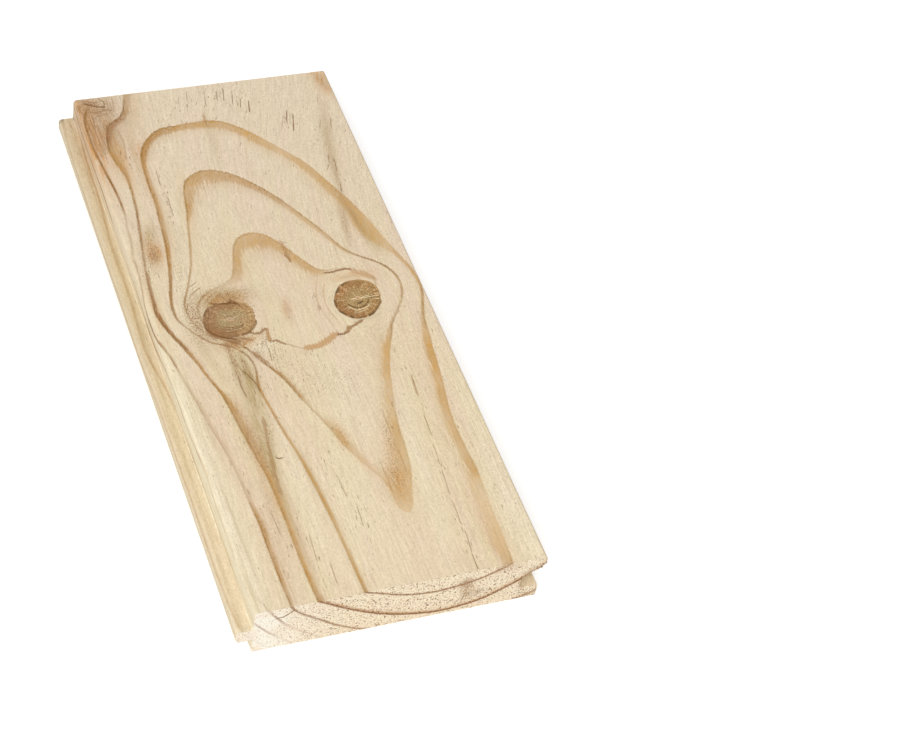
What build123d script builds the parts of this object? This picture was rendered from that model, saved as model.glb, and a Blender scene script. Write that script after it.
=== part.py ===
"""Tongue and groove floorboard: one planed piece of softwood, sawn square at both ends.

The board lies on its underside, as it would on joists. Its length runs along Y, its tongue
points to -X and its groove opens to +X. The origin is on the floor, under the middle of the
board's whole box, tongue included.
"""
import os

from build123d import *

# The planed board, in millimetres. The cover width is the face that shows once it is laid.
cover_width = 137.0
thickness = 28.0
board_length = 338.0

# The tongue, milled on the left edge below the middle, so that more wood lies over the joint.
tongue_length = 7.5
tongue_thickness = 7.0
wood_over_tongue = 12.0
nose_radius = 1.8

# Play of a neighbour's tongue in the groove: over it, under it and in front of its nose.
play_over_tongue = 0.2
play_under_tongue = 0.8
play_before_nose = 3.5

# Below the joint both edges stand back, so that the upper edges of two boards close first.
shoulder_undercut = 0.3
lip_set_back = 1.8

# Roundings left by the cutters: face edges, underside edges, groove mouth, inner corners.
face_arris = 2.0
underside_arris = 0.8
mouth_rounding = 1.0
groove_corner_radius = 2.0
tongue_root_radius = 0.6


def section_corners():
    """Corners of the milled section with their roundings, from the shoulder at x = 0."""
    tongue_top = thickness - wood_over_tongue
    tongue_underside = tongue_top - tongue_thickness
    groove_roof = tongue_top + play_over_tongue
    groove_floor = tongue_underside - play_under_tongue
    groove_back = cover_width - tongue_length - play_before_nose
    lower_lip = cover_width - lip_set_back
    tongue_side = [
        ((0, thickness), face_arris),
        ((0, tongue_top), tongue_root_radius),
        ((-tongue_length, tongue_top), nose_radius),
        ((-tongue_length, tongue_underside), nose_radius),
        ((shoulder_undercut, tongue_underside), tongue_root_radius),
        ((shoulder_undercut, 0), underside_arris),
    ]
    groove_side = [
        ((lower_lip, 0), underside_arris),
        ((lower_lip, groove_floor), mouth_rounding),
        ((groove_back, groove_floor), groove_corner_radius),
        ((groove_back, groove_roof), groove_corner_radius),
        ((cover_width, groove_roof), mouth_rounding),
        ((cover_width, thickness), face_arris),
    ]
    return tongue_side + groove_side


def make_floorboard():
    """Draw the section once, centre it across the board and draw it out along the grain."""
    box_middle = (cover_width - tongue_length) / 2
    corners = section_corners()
    points = [(across - box_middle, up) for (across, up), _ in corners]
    radii = [radius for _, radius in corners]
    with BuildPart() as board:
        with BuildSketch(Plane.XZ):
            with BuildLine():
                FilletPolyline(*points, radius=radii, close=True)
            make_face()
        extrude(amount=board_length / 2, both=True)
    return board.part


os.makedirs("parts", exist_ok=True)
floorboard = make_floorboard()
floorboard.label = "floorboard"
export_step(floorboard, "parts/floorboard.step")
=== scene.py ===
"""Looks of the tongue and groove floorboard: knotty pine, planed along its length, sawn at both ends.

The figure of the wood is drawn in millimetres on the board: across from the shoulder over the
tongue, along from the near sawn end, and up from the underside.
"""

import math

import bmesh
import bpy
import numpy as np
from mathutils import Matrix, Vector, noise


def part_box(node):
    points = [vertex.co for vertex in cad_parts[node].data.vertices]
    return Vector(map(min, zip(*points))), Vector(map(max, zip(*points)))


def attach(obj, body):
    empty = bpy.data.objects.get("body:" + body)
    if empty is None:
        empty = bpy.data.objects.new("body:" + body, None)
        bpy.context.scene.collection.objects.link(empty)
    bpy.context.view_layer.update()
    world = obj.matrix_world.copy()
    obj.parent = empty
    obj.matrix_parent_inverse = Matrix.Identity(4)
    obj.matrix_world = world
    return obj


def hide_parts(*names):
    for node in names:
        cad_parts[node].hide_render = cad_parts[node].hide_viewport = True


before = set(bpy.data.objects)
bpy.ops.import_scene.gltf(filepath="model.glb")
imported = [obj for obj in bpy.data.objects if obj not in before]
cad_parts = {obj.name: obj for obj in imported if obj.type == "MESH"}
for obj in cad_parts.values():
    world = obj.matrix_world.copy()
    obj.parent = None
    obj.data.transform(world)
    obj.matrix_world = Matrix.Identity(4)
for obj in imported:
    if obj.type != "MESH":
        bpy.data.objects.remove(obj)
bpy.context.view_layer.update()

MM = 0.001
BOARD_LOW, BOARD_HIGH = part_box("floorboard")
TONGUE_REACH = 7.5
LENGTH = (BOARD_HIGH.y - BOARD_LOW.y) / MM
THICKNESS = (BOARD_HIGH.z - BOARD_LOW.z) / MM
# The board's own corner, from which the figure is measured: shoulder, near end, underside.
FIGURE_CORNER = np.array([BOARD_LOW.x / MM + TONGUE_REACH, BOARD_LOW.y / MM, BOARD_LOW.z / MM])
# A spot that is nearer than this to a face of the board belongs to that face.
SKIN = 0.5


# The camera

CAMERA_PLACE = Vector((-0.29012, -0.71948, 0.82919))
CAMERA_LOOKS_DOWN = 46.751
CAMERA_HEADING = 28.124
CAMERA_ROLL = 11.805
CAMERA_LENS = 92.13
CAMERA_SENSOR = 36.0
CAMERA_SEES = (0.05, 20.0)


def make_camera():
    data = bpy.data.cameras.new("camera")
    data.lens = CAMERA_LENS
    data.sensor_width = CAMERA_SENSOR
    data.clip_start, data.clip_end = CAMERA_SEES
    camera = bpy.data.objects.new("camera", data)
    bpy.context.scene.collection.objects.link(camera)
    turn = Matrix.Rotation(math.radians(-CAMERA_HEADING), 4, "Z")
    tilt = Matrix.Rotation(math.radians(90 - CAMERA_LOOKS_DOWN), 4, "X")
    roll = Matrix.Rotation(math.radians(CAMERA_ROLL), 4, "Z")
    camera.matrix_world = Matrix.Translation(CAMERA_PLACE) @ turn @ tilt @ roll
    bpy.context.scene.camera = camera


# The figure of this board: where its years' outer lines cross the walking face.
# Each row is the year, the share of the year's growth that is latewood, how deep its colour
# is, how brown it is from golden (0) to red brown (1), and the line's points.
FACE_LINES = [
    (4, 0.05, 0, 0.7, [(6, 0.6), (3.2, 9), (0.4, 18)]),
    (3, 0.15, 0.84, 0.45, [(16.4, 0), (15.8, 12), (15.6, 30), (15.6, 50)]),
    (3, 0.14, 0.32, 0.7,
     [(14.6, 62), (14, 78), (12.2, 92), (9.8, 106), (7.8, 120), (5.2, 136), (3, 152)]),
    (3, 0.07, 0.95, 0.7,
     [(1.2, 318), (1.4, 306), (1.9, 296), (2.8, 285), (4, 275), (5.2, 264), (5.6, 257)]),
    (3, 0.05, 0, 0.75, [(5.4, 249), (4.4, 238), (3.2, 224), (1.8, 208), (0.2, 194)]),
    (2, 0.13, 0.92, 0.3, [(28.4, 0), (27.8, 14), (27.6, 28), (27.6, 44), (27.4, 58), (26.8, 74)]),
    (2, 0.2, 0.84, 0.42, [(25.2, 84), (24, 94), (22.6, 104), (21.8, 112), (20.9, 120)]),
    (2, 0.09, 0.92, 0.45, [(20, 126), (18.8, 130), (17, 135), (15.6, 140), (14.7, 145), (12.9, 150)]),
    (2, 0.13, 1, 0.7, [(10.8, 155), (9.1, 160), (7.4, 165)]),
    (2, 0.22, 1, 0.86, [(5.6, 170), (4.4, 175), (3.6, 180), (3.4, 186)]),
    (2, 0.2, 1, 0.76,
     [(3.6, 193), (4.2, 200), (5.1, 208), (6.4, 218), (7.8, 228), (9.2, 236), (10.8, 248)]),
    (2, 0.16, 1, 0.48, [(11.8, 256), (12.6, 266), (12.8, 274)]),
    (2, 0.25, 1, 0.34, [(12.4, 279), (10.6, 286), (9.2, 292), (8.8, 298)]),
    (2, 0.2, 0.95, 0.95,
     [(9.6, 304), (10.8, 309.6), (12.2, 314.8), (14, 317.6), (18, 319.4), (21, 321.4)]),
    (2, 0.18, 0.8, 0.6, [(23, 325), (24.4, 329), (25.4, 333), (26.6, 338)]),
    (1, 0.05, 0.84, 0.22,
     [(50, 0), (49.4, 16), (48.8, 30), (47.8, 46), (46.6, 60), (45.2, 74), (43.6, 86)]),
    (1, 0.05, 0.9, 0.3, [(41.8, 96), (40.4, 106), (39.2, 116), (38.2, 124), (38.4, 128)]),
    (1, 0.05, 0.6, 0.7, [(39.2, 133), (40.2, 140), (39.8, 146), (37, 150.4), (32.6, 154), (27.2, 157.4)]),
    (1, 0.06, 0.6, 0.7, [(21.6, 161.6), (18.2, 165.4), (15.4, 169.4), (13.6, 172)]),
    (1, 0.09, 1, 0.6, [(12.1, 175), (11.6, 180), (11.8, 185), (12.8, 190), (13.8, 195), (15.4, 200)]),
    (1, 0.1, 1, 0.46, [(16.8, 207), (18, 214), (19.2, 222), (20.4, 232), (21.2, 244)]),
    (1, 0.12, 1, 0.42, [(22.4, 256), (22.1, 266), (22.3, 275), (22.8, 283), (23.6, 289)]),
    (1, 0.13, 0.96, 0.5, [(25, 294), (27, 298), (30, 301.8), (33.2, 305.6), (37.4, 308), (43, 309)]),
    (1, 0.1, 0.88, 0.24, [(50, 309.6), (57, 310), (63, 310.2), (69, 309), (74, 306.2), (78.4, 302.4)]),
    (1, 0.15, 0.82, 0.14, [(83.4, 297.6), (88.4, 291.6), (93.2, 285.4), (99, 278), (104.6, 270.4)]),
    (1, 0.17, 0.84, 0.18,
     [(108.4, 262.8), (111.8, 254.6), (115.4, 246.6), (118.8, 238.6), (121.4, 231.6)]),
    (1, 0.24, 0.74, 0.1, [(123.6, 225), (125.4, 218), (127.4, 210), (129.2, 203.6)]),
    (1, 0.16, 0.76, 0.2, [(131, 198), (132.8, 192.6), (134.4, 187), (135.6, 181), (135.8, 175)]),
    (1, 0.1, 0.86, 0.4, [(135, 170), (133.6, 165), (131.8, 159.6), (130.4, 155), (129.4, 150)]),
    (1, 0.13, 1, 0.14, [(129, 144), (128, 138), (127.2, 132), (126.4, 124), (125.2, 114), (123.6, 104)]),
    (1, 0.14, 0.8, 0.22, [(122.1, 94), (121.3, 84), (121.3, 74), (121.8, 64), (122.2, 56)]),
    (1, 0.24, 0.4, 0.1, [(121.6, 44), (121, 32), (120.6, 18), (119.8, 0)]),
    (0, 0.05, 0.34, 0.75, [(23.6, 164), (20.4, 168), (19, 172.6), (18.2, 177), (17.6, 181)]),
    (0, 0.05, 0.62, 0.55, [(17.9, 184.6), (19.9, 189), (22.1, 194), (24.3, 199.4), (26.3, 205)]),
    (0, 0.07, 0.58, 0.35, [(28.6, 212), (30.6, 220), (32.2, 228), (34, 238)]),
    (0, 0.18, 0.9, 0.35, [(36.2, 246), (37, 254), (38.6, 262), (40.8, 268)]),
    (0, 0.17, 0.86, 0.35, [(44.6, 271), (49.2, 273.6), (53, 274), (57, 273)]),
    (0, 0.14, 0.8, 0.42, [(61.8, 271), (66.2, 268), (70.2, 264.4), (73.8, 260.2)]),
    (0, 0.11, 0.8, 0.48, [(77.2, 256.2), (81, 251.2), (83.6, 247.2), (86.2, 243)]),
    (0, 0.11, 0.8, 0.3,
     [(89.6, 237), (92.6, 231.6), (95.6, 226.2), (99, 219.6), (102.6, 211.6), (106, 205)]),
    (0, 0.05, 0.9, 0.66,
     [(110.4, 200.4), (114.4, 197.4), (118.4, 194.4), (121.4, 191.4), (124, 187.8), (125.5, 184)]),
    (0, 0.06, 0.62, 0.35, [(126.2, 180), (125.9, 175), (124.9, 170), (123, 166)]),
    (0, 0.05, 0.5, 0.75, [(119.9, 161.4), (116.6, 157), (114.6, 154.4)]),
    (0, 0.12, 0.72, 0.45, [(113.2, 152.4), (111.8, 148.6), (110.4, 144.6)]),
    (0, 0.14, 0.76, 0.12,
     [(108.4, 141), (106.4, 135.6), (104.4, 130.4), (102.6, 125), (100.6, 117), (98.6, 108)]),
    (0, 0.18, 0.8, 0.18, [(97.4, 102), (96, 95), (94.8, 87), (94.2, 78), (93.2, 68), (91.4, 60)]),
    (0, 0.25, 0.52, 0.12, [(89.6, 54), (87.8, 48), (86.2, 42.4)]),
    (0, 0.27, 0.38, 0.1, [(85, 39.2), (82.6, 38.8), (80.4, 40), (79.8, 45)]),
    (0, 0.27, 0.56, 0.2, [(79.3, 50), (79.2, 56)]),
    (0, 0.1, 0.24, 0.3, [(77.6, 61), (75, 65.6), (72.4, 70.6), (70.2, 76)]),
    (0, 0.13, 0.6, 0.25, [(67.8, 80), (66.2, 85), (64.6, 90), (63.2, 95), (62.4, 97.4)]),
    (0, 0.05, 0.3, 0.55, [(60.8, 101), (58.8, 107), (57, 112)]),
    (0, 0.11, 0.96, 0.48, [(55.4, 115), (53.8, 121), (52, 126.6), (49.8, 131.6), (47.6, 135.8)]),
    (0, 0.1, 0.94, 0.8,
     [(45.2, 139.8), (43, 142.8), (41.2, 145.6), (38, 151.6), (33.4, 156), (27.6, 159.6)]),
    (-1, 0.1, 0.22, 0.6, [(37, 192.2), (40.6, 194.2), (44.6, 197)]),
    (-1, 0.12, 0.76, 0.28, [(47.4, 201.6), (49, 206.6), (50.4, 212.2), (52.2, 218), (55, 222.6)]),
    (-1, 0.26, 0.86, 0.24, [(59, 224.8), (63, 225.6), (67, 224.6), (70.8, 221.6)]),
    (-1, 0.2, 0.82, 0.22, [(74, 217.6), (77.2, 212), (80.4, 206.6)]),
    (-1, 0.14, 0.74, 0.25, [(83.4, 201.4), (86.4, 197), (89.4, 194)]),
    (-1, 0.08, 0.2, 0.6, [(93.4, 193), (97.6, 193.2), (102, 193.2), (106.4, 191.6), (110, 188.8)]),
    (-1, 0.06, 0.3, 0.55, [(112.8, 186.2), (114.6, 183.2), (114.8, 179.6)]),
    (-1, 0.08, 0, 0.9, [(46, 158.6), (50, 157), (54, 153), (58, 149.4), (62, 146)]),
    (-1, 0.08, 0, 0.2, [(66.6, 143.4), (70, 143.2), (74, 143.8), (78, 145), (81.6, 147.2)]),
    (-1, 0.1, 0.1, 0.7, [(84.4, 149.6), (88, 151.2), (92, 153.4), (96, 156)]),
]

# The same for the near sawn end, with points across and up.
END_LINES = [
    (1, 0.05, 0.66, 0.85, [(50, 28), (55, 26), (60, 24), (65, 21.7), (70, 20), (75, 19), (80, 18.3)]),
    (1, 0.05, 0.76, 0.85, [(87, 18.2), (95, 19), (100, 20), (107, 22), (113, 24.5), (119, 28)]),
    (2, 0.13, 0.92, 0.8, [(29.2, 28), (35, 23.8), (40, 20.4), (45, 17.2), (50, 14.2), (55, 11.6)]),
    (2, 0.13, 1, 0.8, [(60, 9.2), (65, 7.4), (70, 5.8), (75, 4.6), (80, 3.5), (85, 2.8), (90, 2.6)]),
    (2, 0.13, 0.98, 0.8, [(95, 3), (100, 3.6), (105, 4.6), (110, 6.2), (115, 8.6), (120, 11.4)]),
    (2, 0.12, 1, 0.8, [(125, 14.2), (130, 17.4), (135, 21)]),
    (3, 0.07, 0.62, 0.8,
     [(16, 28), (18, 25), (22, 21), (26, 17.8), (31, 14), (35, 10.5), (40, 7), (45, 4)]),
    (3, 0.07, 0.56, 0.8, [(50, 1.2), (54, 0)]),
    (3, 0.1, 0.56, 0.8, [(124, 0), (131, 1.8)]),
    (4, 0.07, 0.46, 0.7, [(6, 28), (8, 25), (10.5, 21.5), (13, 18)]),
    (4, 0.05, 0.12, 0.7, [(16, 14.6), (20, 10.6), (24, 7), (29, 3), (33, 0)]),
]

# Points on the walking face that only hold the growth between the lines: across, along, year.
GROWTH_GUIDES = [
    (68, 175, -1.4), (68, 190, -1.45), (66, 205, -1.36), (84, 170, -1.28), (56, 172, -1.28),
    (74, 158, -1.22), (72, 125, -0.72), (76, 108, -0.56), (66, 125, -0.62), (84, 128, -0.6),
    (80, 90, -0.36), (83, 71, -0.2), (88, 86, -0.25), (87, 76, -0.2), (82, 80, -0.31), (58, 255, -0.28),
    (64, 243, -0.62), (82, 222, -0.56), (44, 240, -0.52), (40, 214, -0.6), (104, 197, -0.62),
    (116, 176, -0.42), (60, 290, 0.52), (90, 268, 0.48), (62, 326, 1.18), (100, 320, 1.16),
    (128, 300, 1.28), (136, 330, 1.62), (136, 270, 1.48), (136, 230, 1.3), (136.6, 178, 1.05),
    (130, 255, 1.34), (128, 240, 1.22), (124, 270, 1.3), (134, 210, 1.16), (136, 140, 1.22),
    (136, 100, 1.4), (136, 60, 1.56), (136, 10, 1.78), (82, 20, 0.24), (66, 40, 0.4), (100, 40, 0.42),
    (60, 80, 0.4), (106, 90, 0.46), (52, 100, 0.46), (0, 60, 3.8), (0, 20, 3.9), (0, 110, 3.6),
    (0, 180, 2.3), (0, 220, 2.7), (1, 260, 3.1), (0, 300, 3.05), (3, 332, 3.2), (8, 326, 2.7),
    (16, 328, 2.45), (4, 315, 2.75), (22, 140, 1.56), (28, 140, 1.34), (30, 120, 1.48), (24, 150, 1.42),
    (33, 130, 1.22), (18, 155, 1.5), (8, 140, 2.5), (32, 100, 1.55), (0, 240, 2.8), (8, 240, 2.25),
    (8, 275, 2.5),
]

# How far growth that is drawn on one spot reaches into the wood round it: across, along, up.
GROWTH_REACH = np.array([22.0, 34.0, 13.0])
# A line is drawn as spots this far apart, and the growth may pass beside them by very little.
LINE_SPACING = 3.0
LINE_SLACK = 0.012
# The plain growth's slope is measured over this length. Spots are worked out so many at a time.
SLOPE_STEP = 0.5
BATCH = 4000

# Latewood between the lines: its share, depth and brownness, its depth on the two drawn faces,
# how little it counts beside a line, and how far a line's own latewood reaches.
PLAIN_LATEWOOD = [0.12, 0.34, 0.45]
PLAIN_DEPTH_DRAWN = 0.07
PLAIN_PULL = 0.02
LATEWOOD_REACH = np.array([5.0, 7.0, 5.0])

# The pith ran above this board, nearly along it. Outer radius of each year round the pith.
PITH_NEAR = np.array([85.0, 82.0])
PITH_FAR = np.array([80.0, 94.0])
YEAR_RADII = np.array([19.0, 34.0, 49.0, 64.0, 77.0, 87.6, 96.3, 104.0, 111.0, 117.5, 123.7, 129.7, 135.5])
FIRST_YEAR = -2

# The two knots: centre on the face, half width and half length there, how they lean and spread
# towards the underside, because branches grow away from the pith, how their outline slants and
# how square it is, how dark their rim is and how ragged.
KNOTS = [
    {"centre": (36.8, 170.4), "radii": (13.0, 11.4), "lean": (-0.76, 0.04), "spread": 0.010,
     "slant": 0.06, "squareness": 2.5, "rim": 0.85, "fray": 0.16},
    {"centre": (101.8, 171.4), "radii": (12.1, 12.9), "lean": (0.32, 0.03), "spread": 0.010,
     "slant": 0.13, "squareness": 2.0, "rim": 0.90, "fray": 0.05},
]
# The years bulge out along a knot by so many years, over so many times its half width.
KNOT_BULGE = 1.5
KNOT_BULGE_REACH = 1.5


def spaced(points, step):
    """Points every few millimetres along a line that is given by its corners."""
    corners = np.array(points, float)
    runs = np.linalg.norm(np.diff(corners, axis=0), axis=1)
    reached = np.concatenate([[0.0], np.cumsum(runs)])
    count = max(2, int(round(reached[-1] / step)) + 1)
    stops = np.linspace(0, reached[-1], count)
    return np.stack([np.interp(stops, reached, corners[:, i]) for i in range(corners.shape[1])], 1)


def knot_reach(spots, knot):
    """Distance from a knot's middle, 1 on its rim, and the two directions it is made of."""
    depth = THICKNESS - spots[:, 2]
    swell = 1 + knot["spread"] * depth
    u, v = [(spots[:, i] - knot["centre"][i] - knot["lean"][i] * depth) / (knot["radii"][i] * swell)
            for i in (0, 1)]
    return np.hypot(u, v), u, v


def plain_growth(spots):
    """Years of growth round the pith, bulging out along each knot, with no figure drawn in."""
    share = (spots[:, 1] / LENGTH)[:, None]
    pith = PITH_NEAR + (PITH_FAR - PITH_NEAR) * share
    radius = np.hypot(spots[:, 0] - pith[:, 0], spots[:, 2] - pith[:, 1])
    years = np.interp(radius, YEAR_RADII, np.arange(len(YEAR_RADII)) + FIRST_YEAR)
    for knot in KNOTS:
        reach, _, _ = knot_reach(spots, knot)
        years -= KNOT_BULGE * np.exp(-((reach / KNOT_BULGE_REACH) ** 2))
    return years


def growth_gap(first, second):
    """How far apart spots are, in steps over which growth is hardly shared any more."""
    gap = (first[:, None, :] - second[None, :, :]) / GROWTH_REACH
    return math.sqrt(3) * np.sqrt((gap ** 2).sum(-1))


def drawn_lines():
    """Spots on every drawn line, with year, latewood share, depth and brownness of each."""
    spots, traits = [], []
    for rows, on_end in ((FACE_LINES, False), (END_LINES, True)):
        for *trait, points in rows:
            for across, other in spaced(points, LINE_SPACING):
                spots.append((across, 0.0, other) if on_end else (across, other, THICKNESS))
                traits.append(trait)
    return np.array(spots), np.array(traits)


class Growth:
    """The years of growth all through the board, bent to pass through the drawn lines."""

    def __init__(self):
        self.lines, self.traits = drawn_lines()
        guides = np.array(GROWTH_GUIDES, float)
        held = np.column_stack([guides[:, :2], np.full(len(guides), THICKNESS)])
        self.spots = np.vstack([self.lines, held])
        years = np.concatenate([self.traits[:, 0], guides[:, 2]])
        bend = years - plain_growth(self.spots)
        gap = growth_gap(self.spots, self.spots)
        shared = (1 + gap) * np.exp(-gap) + LINE_SLACK * np.eye(len(self.spots))
        self.weights = np.linalg.solve(shared, bend)

    def years_and_slopes(self, spots):
        """Years at each spot, and how fast they change across, along and up, for each millimetre."""
        found = plain_growth(spots)
        steps = SLOPE_STEP * np.eye(3)
        slopes = np.stack([(plain_growth(spots + step) - found) / SLOPE_STEP for step in steps], 1)
        for start in range(0, len(spots), BATCH):
            part = slice(start, start + BATCH)
            gap = growth_gap(spots[part], self.spots)
            fade = np.exp(-gap)
            found[part] += ((1 + gap) * fade) @ self.weights
            pull = fade @ self.weights
            for axis, reach in enumerate(GROWTH_REACH):
                drawn = spots[part, axis] * pull - fade @ (self.weights * self.spots[:, axis])
                slopes[part, axis] -= 3 * drawn / reach ** 2
        return found, slopes

    def latewood(self, spots):
        """Latewood share, depth and brownness at each spot, from the nearest lines."""
        plain = np.tile(PLAIN_LATEWOOD, (len(spots), 1))
        plain[(spots[:, 2] > THICKNESS - SKIN) | (spots[:, 1] < SKIN), 1] = PLAIN_DEPTH_DRAWN
        found = np.zeros((len(spots), 3))
        for start in range(0, len(spots), BATCH):
            part = slice(start, start + BATCH)
            gap = ((spots[part][:, None, :] - self.lines[None, :, :]) / LATEWOOD_REACH) ** 2
            pull = np.exp(-gap.sum(-1))
            total = pull.sum(1)[:, None] + PLAIN_PULL
            found[part] = (pull @ self.traits[:, 1:] + PLAIN_PULL * plain[part]) / total
        return found


# Stains and tints on the faces, by kind: across, along, half width, half length, lean, strength.
# The brown, olive and cream kinds also carry painted shade and painted highlight, added below.
BROWN, OLIVE, CREAM, ORANGE = 0, 1, 2, 3
STAINS = {
    BROWN: [
        (11, 219, 2.6, 5.5, 0.2, 0.34), (10, 320, 11, 15, 0, 0.34), (8, 332, 8, 5, 0, 0.24),
        (12, 312, 2, 7, 0.2, 0.4), (38, 184.4, 8.5, 3.6, -0.3, 0.38), (35.6, 155.6, 4.5, 2.4, 0.8, 0.8),
        (43.2, 145.8, 1.8, 2.6, -0.3, 0.65), (30.8, 142, 0.9, 12, 0, 0.75),
        (36.4, 134, 0.9, 9, -0.1, 0.45), (25, 98, 2.4, 14, -0.12, 0.3), (21, 172, 3, 10, 0, 0.55),
        (28, 162, 2.5, 2.5, 0, 0.45), (23, 50, 2, 16, 0.04, 0.22), (18, 20, 3, 26, 0, 0.12),
        (65.5, 171, 1.4, 5, 0.1, 0.24), (62.6, 292, 1.6, 12, 0.1, 0.24),
        (117.6, 226, 0.8, 9, -0.1, 0.4), (111.6, 223, 1.4, 11, 0.14, 0.55),
        (118, 256, 1, 9, 0.14, 0.45), (5, 322, 4.5, 14, 0, 0.2), (27.5, 165, 2.6, 4.5, 0.3, 0.55),
        (34, 162.4, 4, 1.8, 0, 0.5), (40, 179, 4, 2, -0.3, 0.45), (132.4, 330, 1.8, 6, -0.2, 0.3),
        (123.4, 292, 2.2, 20, 0.22, 0.24), (12.6, 219.6, 1.8, 3.4, 0.1, 0.4),
    ],
    OLIVE: [
        (121.6, 280, 2.4, 20, 0.14, 0.4), (14, 300, 2, 11, 0.1, 0.45), (20.4, 288, 1, 16, 0.06, 0.4),
        (38, 186.4, 8, 3, 0, 0.85), (29.6, 182, 3, 3, 0.4, 0.55), (13.6, 234, 2.8, 5.5, 0.3, 0.7),
        (118.6, 226, 2.2, 8, -0.15, 0.65), (121.4, 212, 2.6, 9, -0.1, 0.6),
        (34.6, 134, 3.2, 15, 0, 0.75), (31.8, 104, 3, 20, 0.12, 0.45), (30, 56, 2, 34, 0, 0.65),
        (32, 82, 1.6, 14, 0.16, 0.5), (21, 146, 2, 10, -0.2, 0.3), (12.4, 292, 1.2, 8, 0, 0.3),
        (103, 140, 4, 26, 0.2, 0.16), (24, 240, 1.6, 16, 0, 0.2), (1.6, 14, 0.8, 16, 0, 0.4),
        (46.6, 64, 0.9, 16, -0.1, 0.75), (49.2, 20, 0.7, 26, -0.04, 0.45),
        (5.4, 52, 0.7, 40, -0.02, 0.4), (8.6, 104, 0.8, 16, -0.06, 0.4),
    ],
    CREAM: [
        (1, 60, 5, 90, 0, 0.8), (98, 66, 3.5, 40, 0.1, 0.4), (40, 60, 3, 40, 0, 0.3),
        (46, 152, 4, 5, 0, 0.75), (60, 40, 14, 40, 0, 0.25), (132, 60, 5, 60, 0, 0.25),
        (131, 18, 5, 26, 0, 0.35), (79, 114, 9, 24, 0, 0.32), (20, 190, 3, 14, 0.2, 0.45),
    ],
    ORANGE: [
        (133.2, 331, 3.6, 9, -0.2, 0.9), (1.4, 306, 2.2, 26, 0, 0.85), (8, 312, 8, 20, 0, 0.34),
        (4.4, 312, 2.6, 22, 0, 0.45), (13, 296, 2.4, 16, -0.1, 0.55), (11.4, 283, 1.8, 9, -0.16, 0.6),
        (22.6, 268, 1.4, 20, 0, 0.6), (26, 297, 2.4, 5, 0.6, 0.45), (26.4, 74, 2.4, 26, -0.04, 0.42),
        (84, 56, 3.8, 8.5, 0.12, 0.74), (88, 76, 3, 8, 0.2, 0.4), (66.8, 89, 1.9, 6, -0.12, 0.75),
        (72.6, 71, 1.6, 6, -0.3, 0.4), (104, 187, 8, 2.4, -0.12, 0.65), (32, 184, 3.4, 3.2, 0, 0.35),
        (39, 185.6, 5, 3, 0, 0.45), (45.6, 183, 3, 3, 0, 0.4), (3.8, 184, 1.6, 15, 0, 0.6),
        (37, 249, 2, 14, 0.1, 0.3), (13, 222, 3, 6, 0, 1), (49, 210, 3, 9, 0.2, 0.18),
        (65.5, 172, 1.8, 4.5, 0.1, 0.5), (122.4, 216, 2, 6, -0.3, 0.35),
        (38.6, 155.4, 6, 2.8, 0.5, 0.9), (118, 14, 3, 26, 0, 0.25), (30, 325, 3, 12, 0.3, 0.25),
    ],
}
# Below the walking face they fade out over this depth.
STAIN_DEPTH = 16.0

# Where dark resin dashes crowd, and where torn fibre makes a dark speckle: the same columns.
DASH_SPOTS = [
    (82, 323, 9, 10, 0.2, 0.8), (107, 300, 4, 9, 0.2, 0.7), (103.8, 12, 1.4, 18, 0.03, 0.8),
    (106.6, 58, 1.4, 26, 0.06, 0.6), (110.6, 106, 1.4, 16, 0.06, 0.75), (61, 40, 3, 26, 0.03, 0.55),
    (34, 26, 4, 16, 0, 0.5), (22.5, 46, 3, 20, 0, 0.5), (34, 138, 6, 22, 0, 0.85),
    (11, 222, 4, 12, 0.2, 0.8), (10, 325, 9, 12, 0, 0.8), (16, 292, 4, 18, 0, 0.6),
    (62, 130, 14, 14, 0, 0.55), (56, 68, 4, 12, 0, 0.65), (50, 147, 5, 8, 0, 1),
    (81, 174, 3, 7, 0.1, 0.8), (66, 171, 3, 7, 0, 0.7), (60, 326, 20, 12, 0.2, 0.55),
    (28.5, 258, 2, 26, 0.1, 0.7), (117, 268, 3, 22, 0.2, 0.6), (95, 90, 4, 20, 0, 0.45),
    (24, 96, 4, 20, 0, 0.6), (128, 90, 3, 60, 0, 0.4),
]
SPECKLE_SPOTS = [
    (20.5, 176, 3.4, 12, 0.1, 1), (37, 186, 10, 4.6, -0.3, 1), (47, 180, 2.4, 5, -0.5, 0.7),
    (29, 160.6, 4, 2.4, -0.6, 0.9), (35, 153, 4, 4, 0.5, 0.7), (51, 142, 4, 8, 0, 0.5),
    (12, 221, 3, 7, 0.2, 0.6), (62, 128, 10, 8, 0, 0.35), (74, 122, 10, 7, 0, 0.4),
    (77, 212, 1.6, 5, 0, 0.8), (6, 212, 2, 14, 0.1, 0.6), (22, 206, 2, 12, 0.2, 0.5),
    (34.6, 96, 1.6, 7, 0.3, 0.7), (84.4, 62, 4, 10, 0.1, 0.66), (88.4, 82, 2, 10, 0.1, 0.75),
    (67, 89, 1.8, 6, -0.12, 0.6), (32, 184.6, 4, 3.4, 0.3, 1), (41, 185, 5, 3.4, -0.3, 1),
    (10, 332, 7, 4, 0, 0.5), (27, 88, 2.6, 16, 0, 0.4), (42, 154, 5, 4, 0.3, 0.6),
    (49, 152, 5, 5, 0.3, 0.8),
]
# Smudges on the near sawn end: across, up, half width, half height, strength. The one at the
# groove mouth, 127 across and 11 up, is painted shadow in the groove; the others are stains.
END_SMUDGES_AND_SHADE = [
    (98.4, 20, 3, 2, 1), (99.4, 14, 1.8, 5, 0.8), (104, 11, 3, 1.8, 0.7), (118, 25.6, 4, 1.8, 0.6),
    (133, 18.6, 3, 2, 1), (131, 1.6, 3, 1.4, 0.7), (127, 11, 1.2, 4, 0.8),
]

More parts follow.
